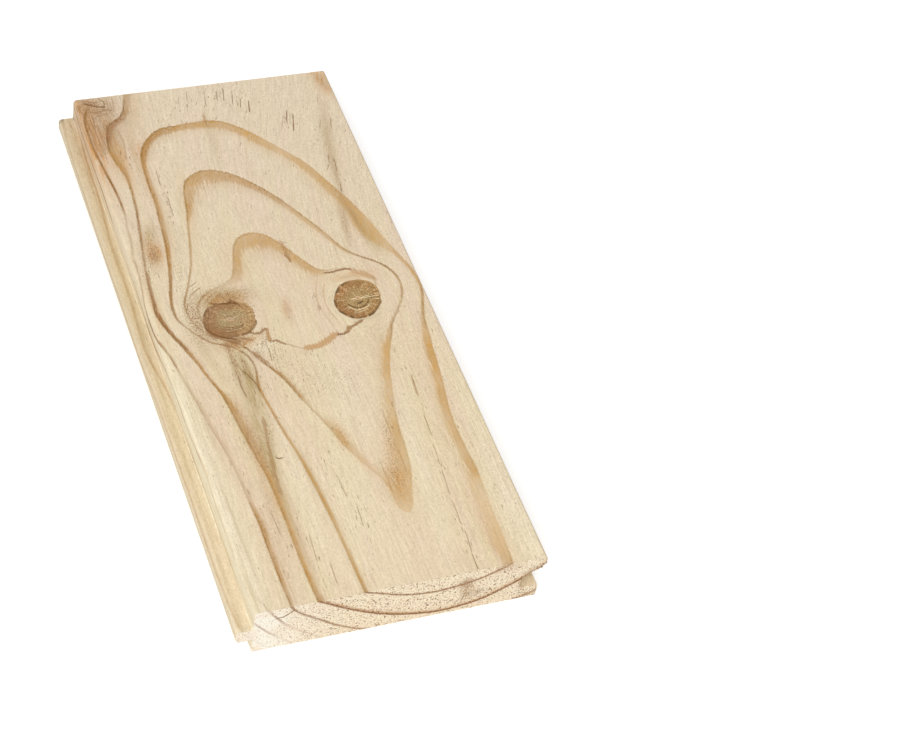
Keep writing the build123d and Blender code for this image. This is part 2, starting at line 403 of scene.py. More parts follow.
# Single strokes in the wood: half width, strength, how golden, and points across and along.
STROKES = [
    (0.8, 0.8, 0.3, [(44.4, 160.2), (46.2, 159.2), (48, 158.9), (49.6, 159.7), (51, 161), (52.4, 161.2)]),
    (1.05, 0.8, 0.75, [(52.5, 160.4), (52.2, 158), (51.7, 155.6), (51.8, 153.6)]),
    (0.7, 0.75, 0.3, [(51.8, 153.6), (53.4, 152.9), (55, 152.7), (56.6, 151.2), (58.2, 150)]),
    (0.5, 0.4, 0.4, [(60.2, 148.8), (62, 147.4), (64.4, 146)]),
    (1.9, 0.8, 1, [(68.2, 145.2), (72.6, 145.3), (76.8, 146.6), (80.4, 148.6), (83, 150.6)]),
    (0.7, 0.85, 0.1, [(83, 151.4), (85, 150.5), (87.6, 150.2), (90, 151.2)]),
    (1.3, 0.85, 0.5, [(90.4, 152), (92, 154)]),
    (0.9, 0.8, 0.3, [(92.6, 154.2), (94.6, 154.6), (96.6, 155.6), (99, 156.9)]),
    (0.5, 0.8, 0, [(31, 182.2), (33.4, 182), (36, 181.2)]),
    (0.8, 1, 0, [(36, 181.6), (38.4, 181), (40.6, 181.4), (42.6, 180.2)]),
    (0.5, 0.8, 0.1, [(40.6, 183.4), (42.6, 181.4), (44, 178.6)]),
    (0.6, 0.9, 0, [(24.4, 166), (26.8, 163), (29.6, 160.6), (32.6, 158.8), (35.8, 157.8)]),
    (0.45, 0.6, 0.1, [(25.2, 166), (26.2, 172), (28.4, 178)]),
    (0.35, 0.45, 0.3, [(27.6, 164), (28.8, 170), (31, 176.4)]),
    (0.45, 0.6, 0.1, [(31.4, 163.4), (34.6, 162.2), (38, 162.4)]),
    (0.35, 0.6, 0, [(33.6, 166.2), (36, 165.2), (39.4, 165), (41.4, 166)]),
    (0.8, 0.55, 0.3, [(11.4, 156.4), (9.8, 160.6), (8, 165.4), (6.3, 170.4), (5.2, 175.4), (4.6, 180)]),
    (0.8, 0.55, 0.3, [(4.4, 186), (4.6, 192), (5.2, 200), (6.1, 208)]),
    (0.5, 0.45, 0.4, [(12.4, 178), (12.4, 184), (13.6, 191), (15, 197), (16.8, 204)]),
    (0.5, 0.45, 0.4, [(1, 333), (2.6, 324), (3.2, 314), (3, 304), (4, 294)]),
    (0.4, 0.7, 0.1, [(33.8, 137), (35.6, 133.4), (36.9, 130.4), (37.8, 127.6), (38.1, 123.6)]),
    (0.4, 0.6, 0.1, [(30.6, 134), (30.2, 128), (30.8, 122)]),
    (0.4, 0.9, 0, [(34.4, 82.2), (35.2, 81.8), (36, 81.9)]),
    (0.6, 0.55, 0.5, [(2.9, 152), (3.7, 146.6)]),
    (0.55, 0.9, 0.1, [(5, 334), (8.4, 332.2), (11, 330.8), (14, 330)]),
    (0.45, 0.65, 0.2, [(14.6, 331), (15, 334), (13.6, 336)]),
    (0.5, 0.6, 0.3, [(7, 327), (10.6, 326.6), (14.2, 327.6), (17.6, 327)]),
    (0.5, 0.5, 0.4, [(9, 323.6), (12, 324.2), (15.4, 324.6)]),
    (0.45, 0.6, 0.3, [(5, 336.4), (8, 335.2), (11, 334.4)]),
    (0.45, 0.5, 0.4, [(6.6, 322), (5.4, 312), (5.8, 300), (6.2, 292)]),
    (0.4, 0.45, 0.4, [(8, 316), (7.8, 306), (8.2, 296)]),
    (0.4, 0.4, 0.5, [(16.8, 337), (16.2, 330), (17, 324)]), (0.4, 0.4, 0.5, [(19.8, 336), (19.2, 328)]),
    (0.45, 0.35, 0.9, [(88.6, 184), (86.4, 179), (85.4, 172), (85.8, 165), (87.6, 160)]),
    (0.4, 0.28, 0.9, [(85.4, 187), (83, 180), (82, 172), (82.6, 164), (84.4, 158)]),
    (0.6, 0.4, 0.6, [(17, 310), (17.6, 302), (16, 290)]),
    (0.35, 0.6, 0.1, [(117.2, 246), (118.2, 251)]), (0.35, 0.55, 0.1, [(119.6, 262), (120.8, 270)]),
    (0.8, 0.55, 0.7, [(62.6, 308), (63.4, 314.4)]),
    (0.45, 0.6, 0.3, [(22.8, 190), (25, 192), (28, 193.8)]),
    (0.4, 0.5, 0.3, [(24, 195.6), (27.4, 198)]), (0.5, 0.6, 0.3, [(18.4, 181), (19.4, 184)]),
    (0.8, 0.6, 0.8, [(76.6, 209), (76.2, 216.6)]),
    (0.9, 0.65, 0.4, [(42.4, 146.4), (44.2, 143.6), (46, 140.6)]),
    (0.6, 0.85, 0.2, [(91.6, 191.6), (95, 191.4), (98.6, 192), (101.6, 192.4), (104.4, 191.6)]),
    (1.3, 0.5, 0.8, [(105.4, 189.8), (108.4, 188), (111, 185.6), (113.8, 183.4)]),
    (0.9, 0.5, 0.5, [(29.8, 62), (30.8, 76), (32.6, 90), (34.6, 106)]),
    (0.8, 0.8, 0.5, [(75.8, 207.4), (76.8, 203.4)]), (0.4, 0.8, 0.1, [(87.8, 313.4), (89.4, 321)]),
    (0.3, 0.75, 0.1, [(84.2, 318), (85.6, 323.6)]), (0.3, 0.7, 0.1, [(80.8, 321), (82.2, 327.6)]),
    (0.3, 0.7, 0, [(77, 324.6), (78.8, 333)]), (0.3, 0.6, 0, [(73.6, 325.4), (75, 331.4)]),
    (0.3, 0.5, 0.1, [(58, 328), (59.2, 334)]), (0.3, 0.5, 0.1, [(66.6, 322), (67.6, 328)]),
    (0.32, 0.8, 0.1, [(104.8, 301.6), (105.6, 305), (107.2, 310)]),
    (0.32, 0.8, 0.1, [(106.4, 295), (107.8, 300), (109.6, 306.4)]),
    (0.28, 0.45, 0.3, [(101, 298), (102.4, 302), (104, 306.4)]),
    (0.32, 0.6, 0.2, [(126.8, 294), (127.4, 297), (128.4, 300)]),
    (0.32, 0.45, 0.2, [(120.4, 294), (121.4, 297), (122.6, 300)]),
    (0.32, 0.45, 0.2, [(125.6, 314.4), (126.4, 317.4)]),
    (0.4, 0.5, 0.2, [(117.4, 268), (117.8, 270.6), (118.6, 273)]),
    (0.3, 0.7, 0.1, [(103.2, 1), (103.4, 9)]), (0.3, 0.5, 0.2, [(104, 12), (104.8, 22)]),
    (0.3, 0.5, 0.3, [(104.4, 27), (105, 40)]), (0.3, 0.5, 0.2, [(105.2, 45), (106.2, 58)]),
    (0.3, 0.45, 0.2, [(106.6, 62), (107.4, 74)]), (0.35, 0.5, 0.2, [(108.6, 80), (109.2, 92)]),
    (0.6, 0.55, 0.5, [(110.4, 106), (111.4, 117)]), (0.32, 0.45, 0.2, [(58.4, 54), (58, 66)]),
    (0.3, 0.45, 0.2, [(60.6, 36), (61.4, 47)]), (0.3, 0.4, 0.2, [(23, 40), (22.4, 52)]),
    (0.32, 0.42, 0.2, [(34.6, 22), (35.4, 36)]), (0.3, 0.42, 0.2, [(39.4, 8), (39.8, 18)]),
    (0.35, 0.5, 0.2, [(81, 168), (82, 177)]), (0.3, 0.5, 0.1, [(49, 141), (49.8, 147)]),
    (0.3, 0.5, 0.1, [(28.6, 246), (29.2, 258)]), (0.3, 0.5, 0.1, [(28, 268), (28.4, 278)]),
    (0.35, 0.4, 0.6, [(90, 62), (90.4, 74)]), (0.35, 0.35, 0.6, [(90.2, 84), (90.8, 100)]),
    (0.35, 0.4, 0.6, [(79.9, 52), (79.8, 66)]),
]
# The same for the near sawn end, with points across and up.
END_STROKES = [
    (0.4, 0.8, 0, [(10.6, 21.4), (13.4, 21.8), (15.6, 23.4), (17.4, 25)]),
    (0.4, 0.75, 0, [(111, 12.6), (112.2, 10.6)]), (0.35, 0.6, 0, [(98.6, 9.6), (98.2, 7.6)]),
    (0.35, 0.6, 0, [(107.4, 12.6), (106, 11.4)]), (0.35, 0.7, 0, [(54, 21.4), (55.6, 19.6)]),
]
# A stroke's mark is kept this far past its edge, in millimetres, and is gone a little further on.
STROKE_KEEP, STROKE_GONE = 0.8, 1.6
# The strokes reach this far below the walking face, round its arrises.
STROKE_DEPTH = 1.5
# A place farther than this from every stroke has none: many half widths off, no strength, no gold.
FAR_AWAY = 90.0
NO_STROKE = np.array([9.0, 0.0, 0.0])


def stroke_field(places, strokes):
    """The strokes at each place: signed offset in half widths, strength and how golden."""
    nearest = np.full(len(places), FAR_AWAY)
    found = np.tile(NO_STROKE, (len(places), 1))
    for half_width, strength, gold, points in strokes:
        corners = np.array(points, float)
        for start, end in zip(corners[:-1], corners[1:]):
            run = end - start
            offset = places - start
            share = np.clip((offset @ run) / (run @ run), 0, 1)
            away = offset - share[:, None] * run
            gap = np.hypot(away[:, 0], away[:, 1])
            side = np.where(run[0] * away[:, 1] < run[1] * away[:, 0], -1.0, 1.0)
            past = gap - half_width
            fade = np.clip((STROKE_GONE - past) / (STROKE_GONE - STROKE_KEEP), 0, 1)
            closer = past < nearest
            nearest[closer] = past[closer]
            found[closer, 0] = (side * gap / half_width)[closer]
            found[closer, 1] = (strength * fade)[closer]
            found[closer, 2] = gold
    return found


def soft_oval(side, along, half_width, half_length):
    """1 in the middle of an oval and fading outwards, from how far off its middle each spot is."""
    return np.exp(-0.5 * ((side / half_width) ** 2 + (along / half_length) ** 2))


def spot_strength(spots, across, along, half_width, half_length, lean, strength):
    """A soft oval on the faces, leaning across by a share of its way along."""
    past = spots[:, 1] - along
    oval = soft_oval(spots[:, 0] - across - lean * past, past, half_width, half_length)
    return strength * oval * np.clip(1 - (THICKNESS - spots[:, 2]) / STAIN_DEPTH, 0, 1)


def strongest(spots, ovals):
    """The strongest of some ovals at each spot."""
    return np.max([spot_strength(spots, *oval) for oval in ovals], axis=0)


# The tongue edge. It is creamy from just under the face and just beside the shoulder, less so
# on the tongue and towards the far end; this is partly the wood's cream and partly a painted
# highlight on the side that faces the light. Millimetres, with the width of each soft passage.
EDGE_BELOW, EDGE_BELOW_SOFT = 27.4, 1.2
EDGE_BESIDE, EDGE_BESIDE_SOFT = 2.2, 2.0
EDGE_FADES, EDGE_FADES_SOFT, EDGE_LEAST = 230, 150, 0.3
TONGUE_CREAM_AND_HIGHLIGHT = 0.4
# The tongue: where it starts, where its top lies, and the streak along its top, which is so far
# out from the shoulder, comes in along its length, and is so wide.
TONGUE_STARTS, TONGUE_TOP = -0.5, 15.4
STREAK_OUT, STREAK_LEAN, STREAK_WIDTH = 4.4, 0.006, 0.9
STREAK_PLAIN, STREAK_STRENGTH = 0.08, 0.34
# The olive on the whole tongue, more of it towards the far end, is painted shade.
TONGUE_PAINTED_SHADE, TONGUE_PAINTED_SHADE_FAR = 0.12, 0.24


def tint_tongue_edge(spots, tints):
    """The tongue edge is creamier than the walking face, partly as painted highlight, and its tongue is
    streaked and dulled with painted shade.
    """
    across, along, up = spots.T
    below = np.clip((EDGE_BELOW - up) / EDGE_BELOW_SOFT, 0, 1)
    beside = np.clip((EDGE_BESIDE - across) / EDGE_BESIDE_SOFT, 0, 1)
    to_front = np.clip((EDGE_FADES - along) / EDGE_FADES_SOFT, EDGE_LEAST, 1)
    on_tongue = across < TONGUE_STARTS
    # Partly painted highlight: the tongue side is made creamier where it faces the light, less so further
    # back.
    tints[:, CREAM] += beside * below * to_front * np.where(on_tongue, TONGUE_CREAM_AND_HIGHLIGHT, 1.0)
    streak = np.exp(-((across + STREAK_OUT - STREAK_LEAN * along) / STREAK_WIDTH) ** 2)
    streaked = np.where(on_tongue & (up > TONGUE_TOP), STREAK_PLAIN + STREAK_STRENGTH * streak, 0)
    # Painted shade: olive laid over the tongue, growing towards the far end.
    tints[:, OLIVE] += streaked + np.where(on_tongue, TONGUE_PAINTED_SHADE + TONGUE_PAINTED_SHADE_FAR * (1 - to_front), 0)


def stains_with_painted_light(spots):
    """How strongly each kind of stain shows at each spot, with painted highlight and painted shade on
    the tongue side and painted shadow at the groove mouth laid into the cream, olive and brown.
    """
    tints = np.zeros((len(spots), len(STAINS)))
    for kind, ovals in STAINS.items():
        for oval in ovals:
            tints[:, kind] += spot_strength(spots, *oval)
    tint_tongue_edge(spots, tints)
    on_end = spots[:, 1] < SKIN
    # Brown smudges on the near end, among them painted shadow at the groove mouth.
    for across, up, half_width, half_height, strength in END_SMUDGES_AND_SHADE:
        oval = soft_oval(spots[:, 0] - across, spots[:, 2] - up, half_width, half_height)
        tints[:, BROWN] += np.where(on_end, strength * oval, 0)
    return np.clip(tints, 0, 1)


# The grain leans to the groove side towards the far end, from its middle on and from so far
# across, and it flows round the knots, which it feels farther along than across.
LEAN_STARTS = 170.0
LEAN_GROWS = 0.25 / 120.0
LEAN_FULL = 0.25
LEAN_FROM, LEAN_OVER = 15, 75
FLOW_LENGTH = 1.5
FLOW_LEAST = 0.8
FLOW_FADE = 0.25
FLOW_SHARE = 0.95


def grain_place(spots):
    """Coordinates that run with the fibres, so that streaks pass round the knots."""
    past = np.clip(spots[:, 1] - LEAN_STARTS, 0, None)
    leaning = np.minimum(past, LEAN_FULL / LEAN_GROWS)
    drift = 0.5 * LEAN_GROWS * leaning ** 2 + LEAN_FULL * (past - leaning)
    share = np.clip((spots[:, 0] - LEAN_FROM) / LEAN_OVER, 0, 1)
    across = spots[:, 0] - drift * share
    for knot in KNOTS:
        _, u, v = knot_reach(spots, knot)
        reach = np.maximum(u ** 2 + (v / FLOW_LENGTH) ** 2, FLOW_LEAST)
        across -= u * knot["radii"][0] * np.exp(-FLOW_FADE * reach) * FLOW_SHARE / reach
    return np.stack([across, spots[:, 1], spots[:, 2]], 1)


# The board's mesh

GRID_STEP = 1.0
SWEEP_STEPS = 84
SNAP = 0.12 * MM
# What lies closer together than this is one point, in the CAD's section and in the whole mesh.
SECTION_WELD = 0.001 * MM
WELD = 0.01 * MM
# Edges this near the walking face are cut finer along the grain, unless they are short already.
FINE_CUTS = 3
FINE_DEPTH = 3.5 * MM
FINE_LENGTH = 1.5 * MM
SHARP_ANGLE = math.radians(38)
# A face whose normal points this much along the board is end grain.
END_FACING = 0.7


def near_end_section(node):
    """The CAD board's near end, as one flat face with the milled section as its outline."""
    bm = bmesh.new()
    bm.from_mesh(node.data)
    bmesh.ops.remove_doubles(bm, verts=bm.verts, dist=SECTION_WELD)
    near = BOARD_LOW.y + WELD
    rest = [face for face in bm.faces if max(v.co.y for v in face.verts) > near]
    bmesh.ops.delete(bm, geom=rest, context="FACES")
    bmesh.ops.dissolve_faces(bm, faces=bm.faces[:], use_verts=False)
    return bm


def cut_in_squares(bm):
    """Cut the section into a grid, so that the figure and the relief have points to sit on."""
    for axis in (0, 2):
        low, high = BOARD_LOW[axis], BOARD_HIGH[axis]
        count = int(round((high - low) / (GRID_STEP * MM)))
        for i in range(1, count):
            place, normal = Vector((0, 0, 0)), Vector((0, 0, 0))
            place[axis] = low + (high - low) * i / count
            normal[axis] = 1
            everything = bm.verts[:] + bm.edges[:] + bm.faces[:]
            bmesh.ops.bisect_plane(bm, geom=everything, plane_co=place, plane_no=normal, dist=SNAP)


def draw_out(bm):
    """Draw the section's rim along the grain and close the far end."""
    cap = bm.faces[:]
    copy = bmesh.ops.duplicate(bm, geom=cap + bm.edges[:] + bm.verts[:])["geom"]
    far = [item for item in copy if isinstance(item, bmesh.types.BMVert)]
    bmesh.ops.translate(bm, verts=far, vec=(0, LENGTH * MM, 0))
    rim = [edge for edge in bm.edges if edge.is_boundary and edge.verts[0].co.y < 0]
    rim_verts = list({v for edge in rim for v in edge.verts})
    step = Vector((0, LENGTH * MM / SWEEP_STEPS, 0))
    bmesh.ops.spin(bm, geom=rim + rim_verts, cent=(0, 0, 0), axis=(0, 0, 1), dvec=step, angle=0,
                   steps=SWEEP_STEPS, use_duplicate=False)
    bmesh.ops.remove_doubles(bm, verts=bm.verts, dist=WELD)
    bmesh.ops.recalc_face_normals(bm, faces=bm.faces)


def refine_walking_face(bm):
    """Split the walking face's squares along the grain, where most of the figure shows."""
    lengthwise = []
    for edge in bm.edges:
        first, second = [vertex.co for vertex in edge.verts]
        if min(first.z, second.z) > BOARD_HIGH.z - FINE_DEPTH and abs(first.y - second.y) > FINE_LENGTH:
            lengthwise.append(edge)
    bmesh.ops.subdivide_edges(bm, edges=lengthwise, cuts=FINE_CUTS)


def make_board_piece(node):
    """The board as one mesh: its long faces have the first material, its ends the second."""
    bm = near_end_section(node)
    cut_in_squares(bm)
    draw_out(bm)
    refine_walking_face(bm)
    for face in bm.faces:
        face.smooth = True
        face.material_index = 1 if abs(face.normal.y) > END_FACING else 0
    mesh = bpy.data.meshes.new("pine_board")
    bm.to_mesh(mesh)
    bm.free()
    piece = bpy.data.objects.new("pine_board", mesh)
    bpy.context.scene.collection.objects.link(piece)
    return piece


def mesh_values(mesh, name):
    """A three-part value of each of the mesh's points, such as its place or its normal."""
    values = np.zeros(len(mesh.vertices) * 3)
    mesh.vertices.foreach_get(name, values)
    return values.reshape(-1, 3)


def write_attribute(mesh, name, values):
    attribute = mesh.attributes.new(name, "FLOAT_VECTOR", "POINT")
    attribute.data.foreach_set("vector", np.ascontiguousarray(values, np.float32).ravel())


def draw_figure(mesh):
    """Write the wood's figure on the mesh: growth, latewood, stains with painted light and shade,
    dashes, strokes and grain.
    """
    spots = mesh_values(mesh, "co") / MM - FIGURE_CORNER
    normals = mesh_values(mesh, "normal")
    growth = Growth()
    years, slopes = growth.years_and_slopes(spots)
    in_face = slopes - (slopes * normals).sum(1)[:, None] * normals
    steepness = np.linalg.norm(in_face, axis=1)
    tints = stains_with_painted_light(spots)
    streaks = [strongest(spots, DASH_SPOTS), strongest(spots, SPECKLE_SPOTS), tints[:, ORANGE]]
    strokes = stroke_field(spots[:, :2], STROKES)
    strokes[:, 1] *= spots[:, 2] > THICKNESS - STROKE_DEPTH
    on_end = spots[:, 1] < SKIN
    strokes[on_end] = stroke_field(spots[on_end][:, [0, 2]], END_STROKES)

    write_attribute(mesh, "growth", np.stack([years, steepness, in_face[:, 1]], 1))
    write_attribute(mesh, "latewood", growth.latewood(spots))
    write_attribute(mesh, "stains_and_painted_light", tints[:, [BROWN, OLIVE, CREAM]])
    write_attribute(mesh, "streaks", np.stack(streaks, 1))
    write_attribute(mesh, "strokes", strokes)
    write_attribute(mesh, "grain", grain_place(spots))


# Relief, always inwards from the CAD faces, in millimetres

# The sawn ends: how rough they are, and the size of their bumps.
END_ROUGHNESS = 0.28
END_BUMPS = 1.7
# Above the groove the near end is torn out below this line, across and up, and down to a height.
TEAR_EDGE = np.array([(125.5, 14.2), (130, 17.4), (135, 21), (137.2, 22.6)])
TEAR_DOWN_TO = 15.9
# How deep it is torn, its least share of that, its soft edge, and its own bumps and where in
# the noise they are taken from.
TEAR_DEPTH = 3.4
TEAR_LEAST = 0.35
TEAR_SOFT = 1.2
TEAR_BUMPS, TEAR_BUMPS_FROM = 2.2, 40.0
# The walking face: low strips along the grain, low rims and dished middles of the knots, and
# strokes, which are cut over so many half widths. Only what is this near the face is worn.
GRAIN_WEAR = 0.10
GRAIN_BUMPS = 1.6
GRAIN_STRETCH = np.array([1, 0.12, 1])
KNOT_WEAR = 0.16
KNOT_RIM = 0.12
KNOT_DISH = 0.5
STROKE_WEAR = 0.14
STROKE_CUT = 1.5
FACE_SKIN = 0.05


def bumpy(spots, size):
    """Smooth bumps from 0 to 1, of about the given size."""
    places = spots / size
    return np.array([0.5 + 0.5 * noise.noise(Vector(place)) for place in places])


def end_wear(spots, near):
    """How far the sawn ends lie inwards at each spot, with the torn lip on the near one."""
    under = np.interp(spots[:, 0], TEAR_EDGE[:, 0], TEAR_EDGE[:, 1]) - spots[:, 2]
    lip = near & (spots[:, 0] > TEAR_EDGE[0, 0]) & (spots[:, 2] > TEAR_DOWN_TO)
    torn = np.where(lip, np.clip(under / TEAR_SOFT, 0, 1), 0)
    ragged = TEAR_LEAST + (1 - TEAR_LEAST) * bumpy(spots + TEAR_BUMPS_FROM, TEAR_BUMPS)
    return END_ROUGHNESS * bumpy(spots, END_BUMPS) + torn * TEAR_DEPTH * ragged


def face_wear(spots):
    """How far the walking face lies inwards at each spot."""
    worn = GRAIN_WEAR * bumpy(spots * GRAIN_STRETCH, GRAIN_BUMPS)
    for knot in KNOTS:
        reach, _, _ = knot_reach(spots, knot)
        rim = np.exp(-((reach - 1) / KNOT_RIM) ** 2)
        worn += KNOT_WEAR * (rim + KNOT_DISH * np.clip(1 - reach, 0, 1))
    offset, strength, _ = stroke_field(spots[:, :2], STROKES).T
    return worn + STROKE_WEAR * strength * np.clip(STROKE_CUT - np.abs(offset), 0, 1)


def carve(mesh):
    """Wear the faces a little: rough ends with a torn lip, and a worn walking face."""
    places = mesh_values(mesh, "co")
    spots = places / MM - FIGURE_CORNER
    near, far = spots[:, 1] < SKIN, spots[:, 1] > LENGTH - SKIN
    rough = end_wear(spots, near)
    places[:, 1] += MM * (np.where(near, rough, 0) - np.where(far, rough, 0))
    top = (spots[:, 2] > THICKNESS - FACE_SKIN) & ~(near | far)
    places[:, 2] -= MM * np.where(top, face_wear(spots), 0)
    mesh.vertices.foreach_set("co", places.ravel())
    mesh.set_sharp_from_angle(angle=SHARP_ANGLE)
    mesh.update()


# Colours, as they are seen in plain light

def colour(red, green, blue):
    """A colour given as it is seen, 0 to 255, for the shaders."""
    def linear(level):
        level /= 255
        return level / 12.92 if level <= 0.04045 else ((level + 0.055) / 1.055) ** 2.4
    return (linear(red), linear(green), linear(blue), 1.0)


EARLYWOOD = colour(228, 209, 174)
EARLYWOOD_PINK = colour(228, 205, 176)
EARLYWOOD_YELLOW = colour(228, 211, 171)
# Painted light: the greyer, paler tone the walking face turns to towards its far end.
FAR_END_PAINTED_LIGHT = colour(230, 213, 189)
EARLYWOOD_PALE = colour(240, 227, 198)
EARLYWOOD_DEEP = colour(202, 174, 134)
# Cream streaks, and the painted highlight on the tongue side.
CREAM_AND_HIGHLIGHT = colour(242, 231, 201)
LATE_GOLD = colour(208, 162, 90)
LATE_BROWN = colour(148, 96, 44)
YEAR_LINE = colour(104, 66, 26)
YEAR_LINE_GOLD = colour(186, 144, 74)
RESIN_DARK = colour(134, 92, 50)
# Brown stains, also used for the painted shadow at the groove mouth.
BROWN_STAIN_AND_SHADE = colour(158, 116, 72)
# Olive stains, also used for the painted shade on the tongue.
OLIVE_STAIN_AND_SHADE = colour(178, 154, 104)
ORANGE_STAIN = colour(208, 152, 90)
STROKE_BROWN = colour(126, 84, 42)
STROKE_GOLD = colour(196, 150, 96)
# The ends' pale speckle, and the painted highlight on their left side.
END_PALE_AND_HIGHLIGHT = colour(247, 241, 226)
END_WOOD = colour(238, 221, 190)
END_PINK = colour(236, 214, 186)
END_DEEP = colour(190, 152, 102)
END_BAND = colour(178, 126, 66)
END_LATE = colour(118, 70, 26)

# Each colour channel's share of a mottling: red changes least and blue most.
MOTTLE_SHARES = (0.9, 1.0, 1.25)
# Years are counted from so many, so that none is negative, and never end more sharply than this.
YEARS_SHIFT = 20.0
LEAST_STEEPNESS = 0.003
# In millimetres from the board's middle: where the face turns greyer towards its far end, which is
# painted light, and rougher to the right, and where the ends turn from pale to their own colour,
# the pale being a painted highlight on their left side.
PAINTED_LIGHT_ALONG = (-80.0, 169.0)
ROUGHER_ACROSS = (20.0, 60.0)
HIGHLIGHT_ACROSS = (-66.0, -20.0)
# How far the raised fibres stand out, in millimetres.
PLANED_BUMP = 0.09
SAWN_BUMP = 0.12


class Wire:
    """What comes out of a shader node. It is reckoned with like a number, and each step adds a node."""

    def __init__(self, finish, socket):
        self.finish = finish
        self.socket = socket

    def __add__(self, other):
        return self.finish.math("ADD", self, other)

    def __sub__(self, other):
        return self.finish.math("SUBTRACT", self, other)

    def __rsub__(self, other):
        return self.finish.math("SUBTRACT", other, self)

    def __mul__(self, other):
        return self.finish.math("MULTIPLY", self, other)

    def __truediv__(self, other):
        return self.finish.math("DIVIDE", self, other)

    def __pow__(self, other):
        return self.finish.math("POWER", self, other)

    def __abs__(self):
        return self.finish.math("ABSOLUTE", self)

    def most(self, other):
        return self.finish.math("MAXIMUM", self, other)

    def swing(self, reach):
        """Noise about its middle, so that it moves a value by up to about a third of the reach."""
        return (self - 0.5) * reach

    def rise(self, start, end):
        """0 at start, 1 at end, with a soft passage between them."""
        return self.finish.add("ShaderNodeMapRange", {"Value": self, "From Min": start, "From Max": end},
                               interpolation_type="SMOOTHSTEP")


class Shading:
    """The nodes of a material or the world: each method adds some and gives what comes out of them."""

    def __init__(self, owner):
        owner.use_nodes = True
        self.owner = owner
        self.nodes = owner.node_tree.nodes
        self.links = owner.node_tree.links
        self.nodes.clear()

    def feed(self, socket, value):
        """Link what comes out of a node to a socket, or set the socket to a plain value."""
        if isinstance(value, Wire):
            self.links.new(value.socket, socket)
        else:
            socket.default_value = value

    def add(self, kind, sockets, out=0, **settings):
        """Add a node with its sockets fed and its settings made, and give one of its outputs."""
        node = self.nodes.new(kind)
        for name, value in settings.items():
            setattr(node, name, value)
        for name, value in sockets.items():
            self.feed(node.inputs[name], value)
        return Wire(self, node.outputs[out])

    def math(self, operation, first, second=0.0):
        return self.add("ShaderNodeMath", {0: first, 1: second}, operation=operation)

    def scaled(self, vector, factors):
        return self.add("ShaderNodeVectorMath", {0: vector, 1: factors}, operation="MULTIPLY")

    def joined(self, *parts):
        return self.add("ShaderNodeCombineXYZ", dict(enumerate(parts)))

    def parts(self, vector):
        node = self.nodes.new("ShaderNodeSeparateXYZ")
        self.feed(node.inputs[0], vector)
        return [Wire(self, output) for output in node.outputs]

    def place(self):
        """Where a point of the surface is, in millimetres."""
        return self.scaled(self.add("ShaderNodeTexCoord", {}, out=3), (1 / MM, 1 / MM, 1 / MM))

    def attribute(self, name):
        return self.add("ShaderNodeAttribute", {}, out=1, attribute_name=name)

    def noise(self, place, steps, detail=2.0, roughness=0.5):
        """Noise that changes so many times in a millimetre across, along and up."""
        if not isinstance(steps, tuple):
            steps = (steps, steps, steps)
        return self.add("ShaderNodeTexNoise", {"Vector": self.scaled(place, steps), "Scale": 1.0,
                                               "Detail": detail, "Roughness": roughness})

    def blend(self, amount, first, second):
        return self.add("ShaderNodeMix", {0: amount, 6: first, 7: second}, out=2, data_type="RGBA",
                        clamp_factor=True)

    def layered(self, wood, *layers):
        """Colours laid over the wood one after another, each with its amount."""
        for amount, tint in layers:
            wood = self.blend(amount, wood, tint)
        return wood

    def mottled(self, wood, speckle, strength):
        """Lighter and darker with some noise, and browner where it is darker."""
        swing = speckle.swing(strength)
        return self.scaled(wood, self.joined(*[swing * share + 1.0 for share in MOTTLE_SHARES]))

    def output(self, shader, kind="ShaderNodeOutputMaterial"):
        """End with this shader, and give the finished material or world."""
        self.feed(self.nodes.new(kind).inputs["Surface"], shader)
        return self.owner

    def bare_wood(self, base, roughness, height, bump_depth, specular):
        """Bare wood: matt, with its fibres raised as bump."""
        bump = {"Strength": 1.0, "Distance": bump_depth * MM, "Height": height}
        normal = self.add("ShaderNodeBump", bump)
        return self.output(self.add("ShaderNodeBsdfPrincipled", {
            "Base Color": base, "Roughness": roughness, "Normal": normal, "Specular IOR Level": specular}))


def year_bands(years, steepness, share, jitter):
    """Each year's latewood: its broad colour, which fades inwards, and the line where it ends."""
    steepness = steepness.most(LEAST_STEEPNESS)
    fraction = years.finish.math("FRACT", years + YEARS_SHIFT)
    left = 1.0 - fraction
    inward = left / share + jitter
    past = (fraction / steepness).rise(0.9, 0.0)
    broad = (inward.rise(1.2, 0.65) * 0.64 + inward.rise(2.6, 0.6) * 0.26).most(past)
    line = (left / steepness).rise(1.0, 0.1).most(past)
    return broad, line


def draw_strokes(finish, wood, raggedness):
    """The single strokes, from their signed offset, so that they stay thinner than the mesh."""
    offset, strength, golden = finish.parts(finish.attribute("strokes"))
    line = abs(offset + raggedness).rise(1.25, 0.55) * strength
    return finish.blend(line, wood, finish.blend(golden, STROKE_BROWN, STROKE_GOLD))


def knot_directions(finish, place, knot):
    """How far across and along a point is from the knot's middle, 1 on its rim."""
    x, y, z = finish.parts(place)
    depth = BOARD_HIGH.z / MM - z
    swell = depth * knot["spread"] + 1.0
    offsets = []
    for value, corner, middle, lean in zip((x, y), FIGURE_CORNER, knot["centre"], knot["lean"]):
        offsets.append(value - (middle + corner) - depth * lean)
    offsets[0] = offsets[0] - offsets[1] * knot["slant"]
    return [offset * (1 / radius) / swell for offset, radius in zip(offsets, knot["radii"])]


# The share of a knot line's width that has its full colour.
KNOT_LINE_CORE = 0.3


def knot_line(off, width, along, start, end, passage):
    """A line so wide, and only between its start and its end, with a soft passage at both."""
    line = off.rise(width, width * KNOT_LINE_CORE)
    return line * along.rise(start, start + passage) * along.rise(end, end - passage)


